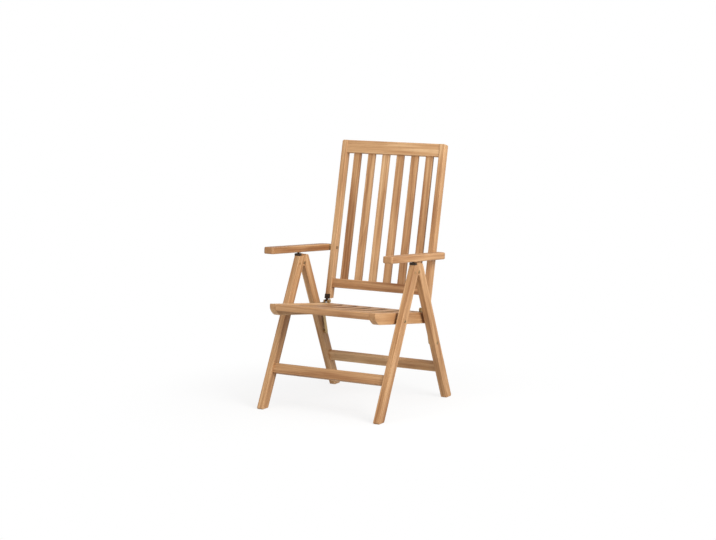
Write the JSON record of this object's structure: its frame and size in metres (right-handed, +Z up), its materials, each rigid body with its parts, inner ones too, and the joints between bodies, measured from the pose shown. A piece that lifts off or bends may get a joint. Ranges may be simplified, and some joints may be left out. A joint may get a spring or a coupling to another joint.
{
  "type": "reclining armchair",
  "caption": "Slatted wooden armchair on crossed folding legs, with a high back that reclines on notched arms, a hinged seat and flat lift-up armrests.",
  "frame": {"origin": "middle of the chair's box at floor level, on the mid plane between the arms", "axes": "+X to the right as seen from the front, -Y the way a sitter faces, +Z up"},
  "size_m": [0.604, 0.663, 1.0671],
  "materials": {
    "teak": "sanded, bare, satin",
    "black_steel": "black, semi-matt",
    "brass": "dull, brushed",
    "steel": "brushed"
  },
  "bodies": {
    "front_frame": {"front_leg_left": "teak", "front_leg_right": "teak", "front_stretcher": "teak", "arm_bracket_left": "black_steel", "arm_bracket_right": "black_steel", "bracket_rivets": "brass", "leg_pivot_bolts": "brass", "seat_pivot_bolts": "brass", "seat_pivot_spacers": "brass"},
    "rear_frame": {"rear_leg_left": "teak", "rear_leg_right": "teak", "rear_stretcher": "teak", "link_bolts": "brass", "link_spacers": "brass"},
    "seat": {"seat_rail_left": "teak", "seat_rail_right": "teak", "seat_front_rail": "teak", "seat_rear_rail": "teak", "seat_slat_1": "teak", "seat_slat_2": "teak", "seat_slat_3": "teak", "seat_slat_4": "teak", "seat_slat_5": "teak", "seat_slat_6": "teak", "hinge_leaf_lower_left": "brass", "hinge_leaf_lower_right": "brass", "hinge_screws_lower": "steel"},
    "hinge": {"hinge_pins": "brass"},
    "back": {"back_stile_left": "teak", "back_stile_right": "teak", "back_top_rail": "teak", "back_bottom_rail": "teak", "back_slat_1": "teak", "back_slat_2": "teak", "back_slat_3": "teak", "back_slat_4": "teak", "back_slat_5": "teak", "back_slat_6": "teak", "hinge_leaf_upper_left": "black_steel", "hinge_leaf_upper_right": "black_steel", "hinge_screws_upper": "steel"},
    "link_left": {"link_strap_left": "brass", "link_stud_left": "brass"},
    "arm_bolt_left": {"arm_pivot_bolt_left": "steel"},
    "arm_bush_left": {"arm_pivot_bush_left": "brass"},
    "arm_left": {"armrest_left": "teak", "arm_rack_left": "steel", "rack_screws_left": "steel"},
    "link_right": {"link_strap_right": "brass", "link_stud_right": "brass"},
    "arm_bolt_right": {"arm_pivot_bolt_right": "steel"},
    "arm_bush_right": {"arm_pivot_bush_right": "brass"},
    "arm_right": {"armrest_right": "teak", "arm_rack_right": "steel", "rack_screws_right": "steel"}
  },
  "joints": [
    {"name": "fold", "type": "hinge", "parent": "front_frame", "child": "rear_frame", "pos_m": [0, 0.00242, 0.5685], "axis": [-1, 0, 0], "range_deg": [0, 50]},
    {"name": "seat_fold", "type": "hinge", "parent": "front_frame", "child": "seat", "pos_m": [0, -0.11631, 0.38307], "axis": [-1, 0, 0], "range_deg": [0, 82]},
    {"name": "back_fold", "type": "hinge", "parent": "seat", "child": "hinge", "pos_m": [0, 0.14143, 0.38848], "axis": [1, 0, 0], "range_deg": [0, 86]},
    {"name": "recline", "type": "hinge", "parent": "hinge", "child": "back", "pos_m": [0, 0.14143, 0.38848], "axis": [-1, 0, 0], "range_deg": [0, 30]},
    {"name": "link_left_fold", "type": "hinge", "parent": "rear_frame", "child": "link_left", "pos_m": [-0.2495, 0.1677, 0.25012], "axis": [-1, 0, 0], "range_deg": [0, 129]},
    {"name": "arm_left_fold", "type": "hinge", "parent": "back", "child": "arm_bolt_left", "pos_m": [-0.2555, 0.20914, 0.6109], "axis": [-1, 0, 0], "range_deg": [0, 129]},
    {"name": "arm_left_level", "type": "hinge", "parent": "arm_bolt_left", "child": "arm_bush_left", "pos_m": [-0.2555, 0.20914, 0.6109], "axis": [1, 0, 0], "range_deg": [0, 20.73]},
    {"name": "arm_left_lift", "type": "hinge", "parent": "arm_bush_left", "child": "arm_left", "pos_m": [-0.2555, 0.20914, 0.6109], "axis": [-1, 0, 0], "range_deg": [0, 100]},
    {"name": "link_right_fold", "type": "hinge", "parent": "rear_frame", "child": "link_right", "pos_m": [0.2495, 0.1677, 0.25012], "axis": [-1, 0, 0], "range_deg": [0, 129]},
    {"name": "arm_right_fold", "type": "hinge", "parent": "back", "child": "arm_bolt_right", "pos_m": [0.2555, 0.20914, 0.6109], "axis": [-1, 0, 0], "range_deg": [0, 129]},
    {"name": "arm_right_level", "type": "hinge", "parent": "arm_bolt_right", "child": "arm_bush_right", "pos_m": [0.2555, 0.20914, 0.6109], "axis": [1, 0, 0], "range_deg": [0, 20.73]},
    {"name": "arm_right_lift", "type": "hinge", "parent": "arm_bush_right", "child": "arm_right", "pos_m": [0.2555, 0.20914, 0.6109], "axis": [-1, 0, 0], "range_deg": [0, 100]}
  ],
  "couplings": [
    {"joint": "seat_fold", "follows": "fold", "ratio": 1.64},
    {"joint": "back_fold", "follows": "fold", "ratio": 1.72},
    {"joint": "link_left_fold", "follows": "fold", "ratio": 2.58},
    {"joint": "arm_left_fold", "follows": "fold", "ratio": 2.58},
    {"joint": "arm_left_level", "follows": "recline", "ratio": 0.69098},
    {"joint": "link_right_fold", "follows": "fold", "ratio": 2.58},
    {"joint": "arm_right_fold", "follows": "fold", "ratio": 2.58},
    {"joint": "arm_right_level", "follows": "recline", "ratio": 0.69098}
  ]
}
